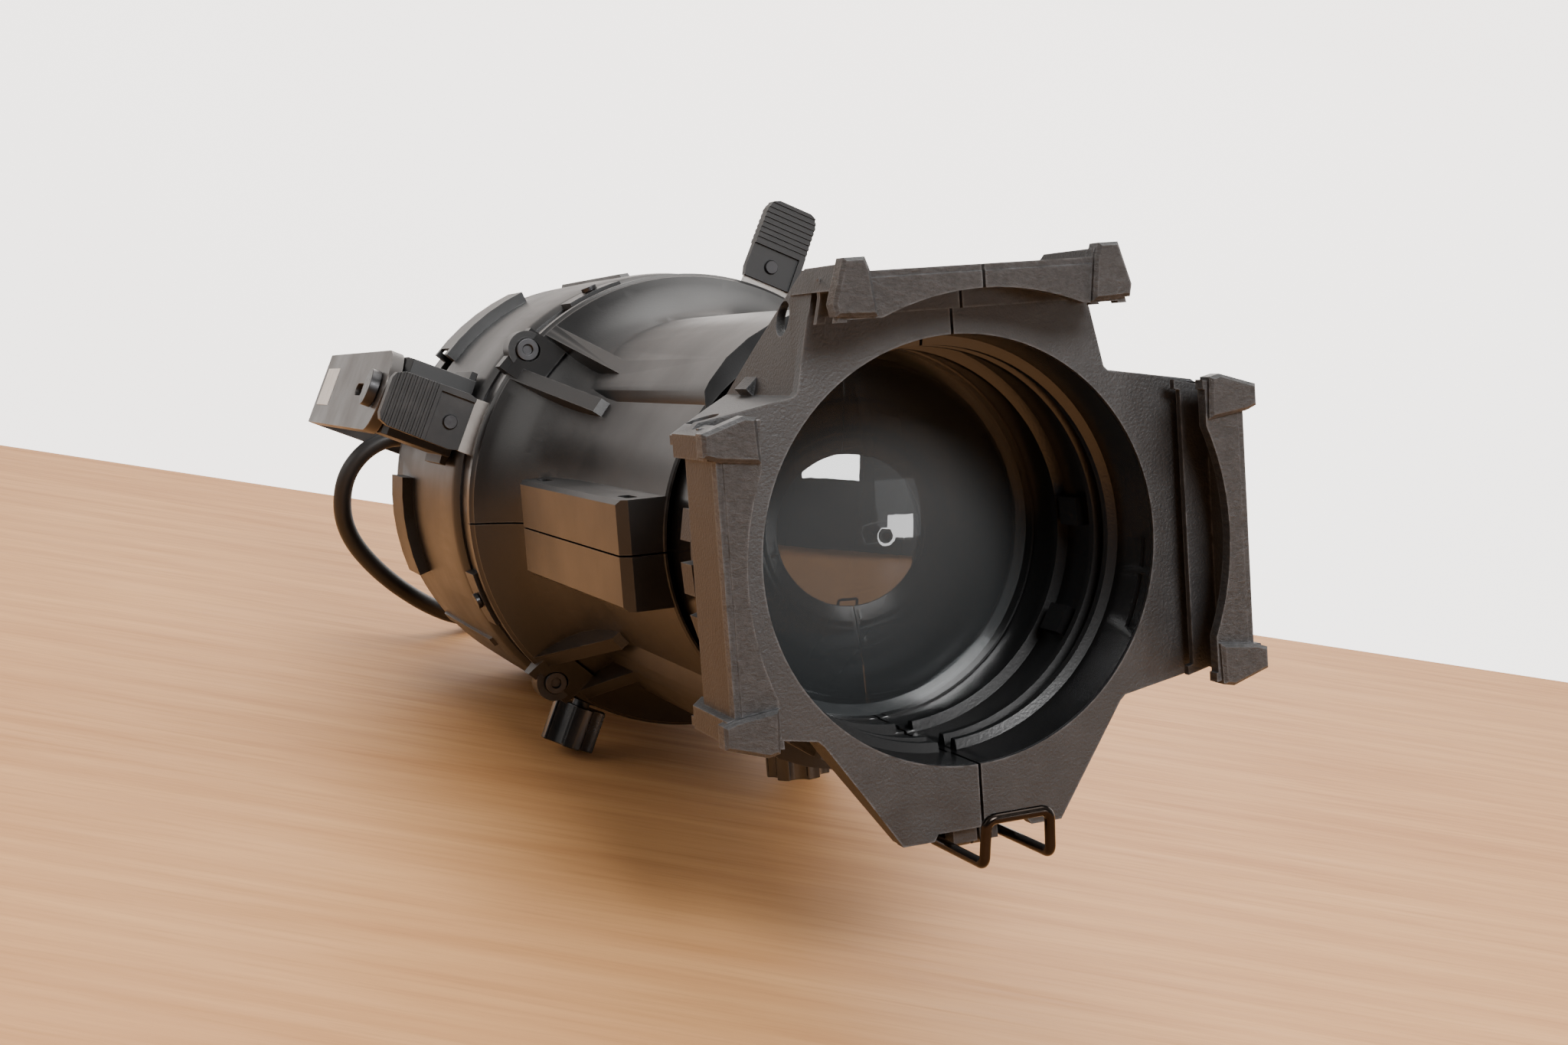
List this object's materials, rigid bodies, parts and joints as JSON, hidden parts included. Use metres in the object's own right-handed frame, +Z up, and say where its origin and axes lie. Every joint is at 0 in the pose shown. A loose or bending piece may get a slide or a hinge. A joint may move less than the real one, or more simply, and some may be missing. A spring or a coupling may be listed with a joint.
{
  "type": "profile stage spotlight",
  "caption": "Ellipsoidal profile stage spotlight lying on a table, with framing shutters, turning barrel, sliding lens tube, open accessory holder, yoke and coiled mains lead.",
  "frame": {"origin": "middle of the underside of the object without its lead, on the table top", "axes": "+Z up from the table; +Y from the accessory holder towards the lamp end, along the beam axis seen from above; +X to the right seen from the lens"},
  "size_m": [0.3066, 0.7537, 0.2624],
  "materials": {
    "cast_black": "satin",
    "cast_grey": "matte",
    "steel_black": "satin",
    "yoke_grey": "satin",
    "bright_steel": "satin",
    "dark_steel": "satin",
    "wire_bronze": "satin",
    "grip_plastic": "satin",
    "knob_plastic": "gloss",
    "lens_glass": "gloss",
    "reflector_mirror": "polished",
    "label_white": "satin",
    "lead_rubber": "satin",
    "tie_fabric": "matte",
    "plug_plastic": "satin",
    "pin_brass": "satin"
  },
  "bodies": {
    "root": {"gate_plate_front": "steel_black", "gate_plate_rear": "steel_black", "housing_front_ring": "cast_black", "ring_screws": "dark_steel", "reflector_housing": "cast_black", "rear_cover": "cast_black", "reflector": "reflector_mirror", "lamp": "lens_glass", "lamp_socket": "steel_black", "lamp_cap": "cast_black", "yoke_bracket_left": "steel_black", "yoke_bracket_right": "steel_black", "yoke_pivot_bolt_left": "dark_steel", "yoke_pivot_bolt_right": "dark_steel", "strain_relief": "lead_rubber", "lead": "lead_rubber", "lead_coil": "lead_rubber", "lead_tail": "lead_rubber", "lead_tie": "tie_fabric", "plug_body": "plug_plastic", "plug_pin_1": "pin_brass", "plug_pin_2": "pin_brass", "plug_pin_3": "pin_brass"},
    "yoke_body": {"yoke": "yoke_grey", "yoke_label": "label_white"},
    "yoke_lock": {"yoke_lock_knob": "knob_plastic"},
    "barrel": {"barrel_upper": "cast_black", "barrel_lower": "cast_black", "barrel_lug_screws": "dark_steel"},
    "lens_tube": {"tube_half_left": "cast_grey", "tube_half_right": "cast_grey", "tube_screws": "dark_steel", "front_lens": "lens_glass", "lens_retainer": "bright_steel"},
    "focus": {"focus_knob": "knob_plastic", "focus_stud": "dark_steel"},
    "clip": {"retaining_clip": "wire_bronze"},
    "barrel_lock": {"barrel_lock_knob": "knob_plastic", "barrel_lock_stud": "dark_steel"},
    "lamp_adjust": {"lamp_adjust_knob": "knob_plastic"},
    "shutter_top": {"shutter_blade_top": "bright_steel", "shutter_grip_top": "grip_plastic", "shutter_rivet_top": "dark_steel"},
    "shutter_left": {"shutter_blade_left": "bright_steel", "shutter_grip_left": "grip_plastic", "shutter_rivet_left": "dark_steel"},
    "shutter_bottom": {"shutter_blade_bottom": "bright_steel", "shutter_grip_bottom": "grip_plastic", "shutter_rivet_bottom": "dark_steel"},
    "shutter_right": {"shutter_blade_right": "bright_steel", "shutter_grip_right": "grip_plastic", "shutter_rivet_right": "dark_steel"}
  },
  "joints": [
    {"name": "yoke_tilt", "type": "hinge", "parent": "root", "child": "yoke_body", "pos_m": [-0.00932, 0.08063, 0.11832], "axis": [0.964, -0.0339, -0.2638], "range_deg": [0, 115]},
    {"name": "yoke_lock_turn", "type": "hinge", "parent": "root", "child": "yoke_lock", "pos_m": [0.13816, 0.07545, 0.07795], "axis": [0.964, -0.0339, -0.2638], "range_deg": [0, 540]},
    {"name": "barrel_turn", "type": "hinge", "parent": "root", "child": "barrel", "pos_m": [-0.00932, 0.03104, 0.12469], "axis": [0, 0.9918, -0.1275], "range_deg": [0, 50]},
    {"name": "tube_slide", "type": "slide", "parent": "barrel", "child": "lens_tube", "axis": [0, -0.9918, 0.1275], "range_m": [-0.012, 0.03]},
    {"name": "focus_turn", "type": "hinge", "parent": "lens_tube", "child": "focus", "pos_m": [0.00056, -0.10501, 0.04672], "axis": [0.1663, -0.1257, -0.978], "range_deg": [0, 540]},
    {"name": "clip_turn", "type": "hinge", "parent": "lens_tube", "child": "clip", "pos_m": [0.00628, -0.2416, 0.06647], "axis": [0.9861, 0.0212, 0.1649], "range_deg": [0, 100]},
    {"name": "barrel_lock_turn", "type": "hinge", "parent": "root", "child": "barrel_lock", "pos_m": [-0.04763, 0.04991, 0.01264], "axis": [-0.266, -0.1229, -0.9561], "range_deg": [0, 540]},
    {"name": "lamp_adjust_turn", "type": "hinge", "parent": "root", "child": "lamp_adjust", "pos_m": [-0.00932, 0.25917, 0.09537], "axis": [0, 0.9918, -0.1275], "continuous": true},
    {"name": "shutter_top_slide", "type": "slide", "parent": "root", "child": "shutter_top", "axis": [0.266, 0.1229, 0.9561], "range_m": [0, 0.032]},
    {"name": "shutter_left_slide", "type": "slide", "parent": "root", "child": "shutter_left", "axis": [-0.964, 0.0339, 0.2638], "range_m": [0, 0.032]},
    {"name": "shutter_bottom_slide", "type": "slide", "parent": "root", "child": "shutter_bottom", "axis": [0.5675, -0.105, -0.8167], "range_m": [0, 0.032]},
    {"name": "shutter_right_slide", "type": "slide", "parent": "root", "child": "shutter_right", "axis": [0.964, -0.0339, -0.2638], "range_m": [0, 0.032]}
  ]
}
